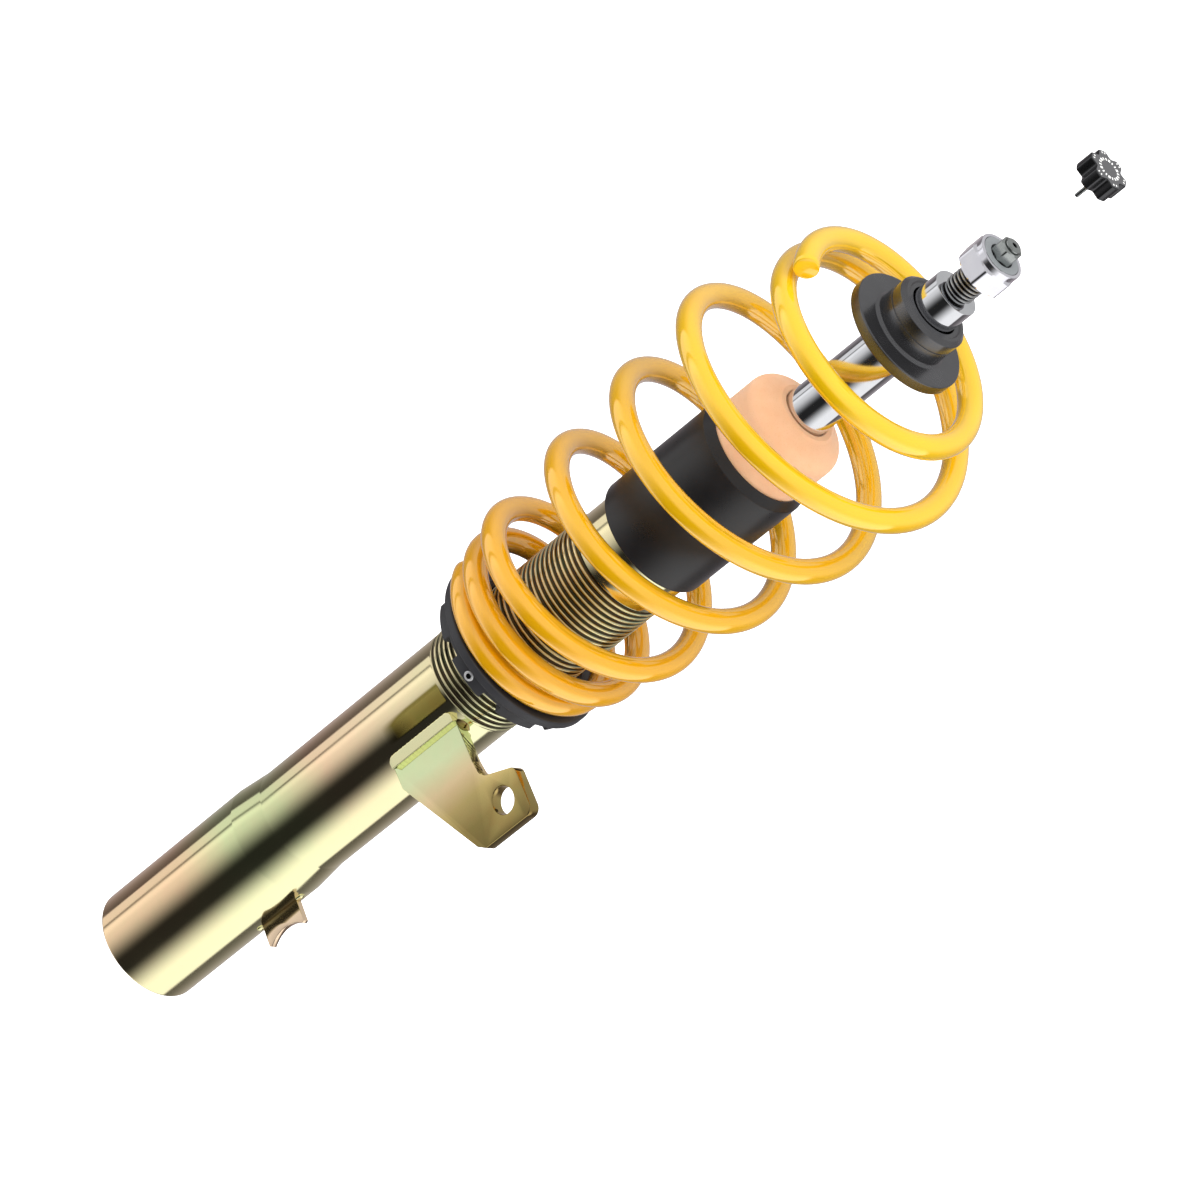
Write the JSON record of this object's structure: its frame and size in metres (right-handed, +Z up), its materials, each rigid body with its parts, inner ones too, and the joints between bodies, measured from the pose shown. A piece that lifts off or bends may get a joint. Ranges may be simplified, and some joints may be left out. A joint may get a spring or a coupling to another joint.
{
  "type": "coilover suspension strut",
  "caption": "Height-adjustable coilover strut: threaded twin-tube damper, barrel coil spring on a screw perch, bump stop, rod-top collar and pull-off rebound knob.",
  "frame": {"origin": "centre of the damper tube's lower end face", "axes": "+Z up the damper axis towards the piston rod's end; the anti-roll-bar bracket stands out between +X and -Y"},
  "size_m": [0.1369, 0.1385, 0.6159],
  "materials": {
    "yellow_zinc": "glossy yellow-passivated zinc plating",
    "sintered_iron": "matt sintered iron",
    "plain_steel": "satin turned steel",
    "bronze": "satin bronze",
    "black_rubber": "matt rubber",
    "black_nylon": "matt glass-filled polyamide",
    "hard_chrome": "polished hard chrome",
    "bright_zinc": "bright zinc plating",
    "black_anodised": "satin black anodised",
    "yellow_powder_coat": "glossy powder coat",
    "black_sleeve": "satin moulded plastic",
    "peach_foam": "matt microcellular polyurethane"
  },
  "bodies": {
    "strut": {"strut_tube": "yellow_zinc", "base_cap": "yellow_zinc", "arb_bracket": "yellow_zinc", "bracket_weld_front": "yellow_zinc", "bracket_weld_rear": "yellow_zinc", "locating_tab": "yellow_zinc", "tab_weld_upper": "yellow_zinc", "tab_weld_lower": "yellow_zinc", "gland_nut": "yellow_zinc", "base_valve": "sintered_iron", "pressure_tube": "plain_steel", "rod_guide": "sintered_iron", "guide_bush": "bronze", "rod_seal": "black_rubber", "wiper_seal": "black_rubber"},
    "band": {"piston_band": "black_nylon"},
    "rod": {"piston_rod": "hard_chrome", "piston": "sintered_iron", "rebound_shims": "plain_steel", "compression_shims": "plain_steel", "piston_nut": "bright_zinc", "rebound_stop": "black_nylon", "top_collar": "black_anodised", "collar_ring": "plain_steel", "top_nut": "bright_zinc", "nut_insert": "black_nylon"},
    "adjuster": {"adjuster_needle": "plain_steel"},
    "knob": {"rebound_knob": "black_anodised", "knob_pin": "plain_steel"},
    "spring": {"coil_spring": "yellow_powder_coat"},
    "perch": {"spring_perch": "black_nylon"},
    "lock": {"lock_screw": "bright_zinc"},
    "bump": {"dust_sleeve": "black_sleeve", "bump_stop": "peach_foam"}
  },
  "joints": [
    {"name": "strut_stroke", "type": "slide", "parent": "strut", "child": "band", "axis": [0, 0, 1], "range_m": [-0.084, 0], "stiffness_N_per_m": 1500, "springref_m": 0.1, "deforming": ["coil_spring", "bump_stop"]},
    {"name": "rod_turn", "type": "hinge", "parent": "band", "child": "rod", "pos_m": [0, 0, 0.31], "axis": [0, 0, 1], "continuous": true},
    {"name": "rebound_adjust", "type": "hinge", "parent": "rod", "child": "adjuster", "pos_m": [0, 0, 0.55], "axis": [0, 0, 1], "range_deg": [0, 675]},
    {"name": "knob_pull", "type": "slide", "parent": "adjuster", "child": "knob", "axis": [0, 0, 1], "range_m": [-0.0444, 0]},
    {"name": "ride_height", "type": "slide", "parent": "strut", "child": "spring", "axis": [0, 0, 1], "range_m": [-0.018, 0.042]},
    {"name": "perch_turn", "type": "hinge", "parent": "spring", "child": "perch", "pos_m": [0, 0, 0.255], "axis": [0, 0, 1], "range_deg": [-2160, 5040]},
    {"name": "lock_turn", "type": "hinge", "parent": "perch", "child": "lock", "pos_m": [-0.00323, -0.03686, 0.2504], "axis": [-0.0872, -0.9962, 0], "range_deg": [0, 720]},
    {"name": "bump_slide", "type": "slide", "parent": "strut", "child": "bump", "axis": [0, 0, 1], "range_m": [0, 0.056]}
  ],
  "couplings": [
    {"joint": "perch_turn", "follows": "ride_height", "rad_per_m": 2094.4}
  ]
}
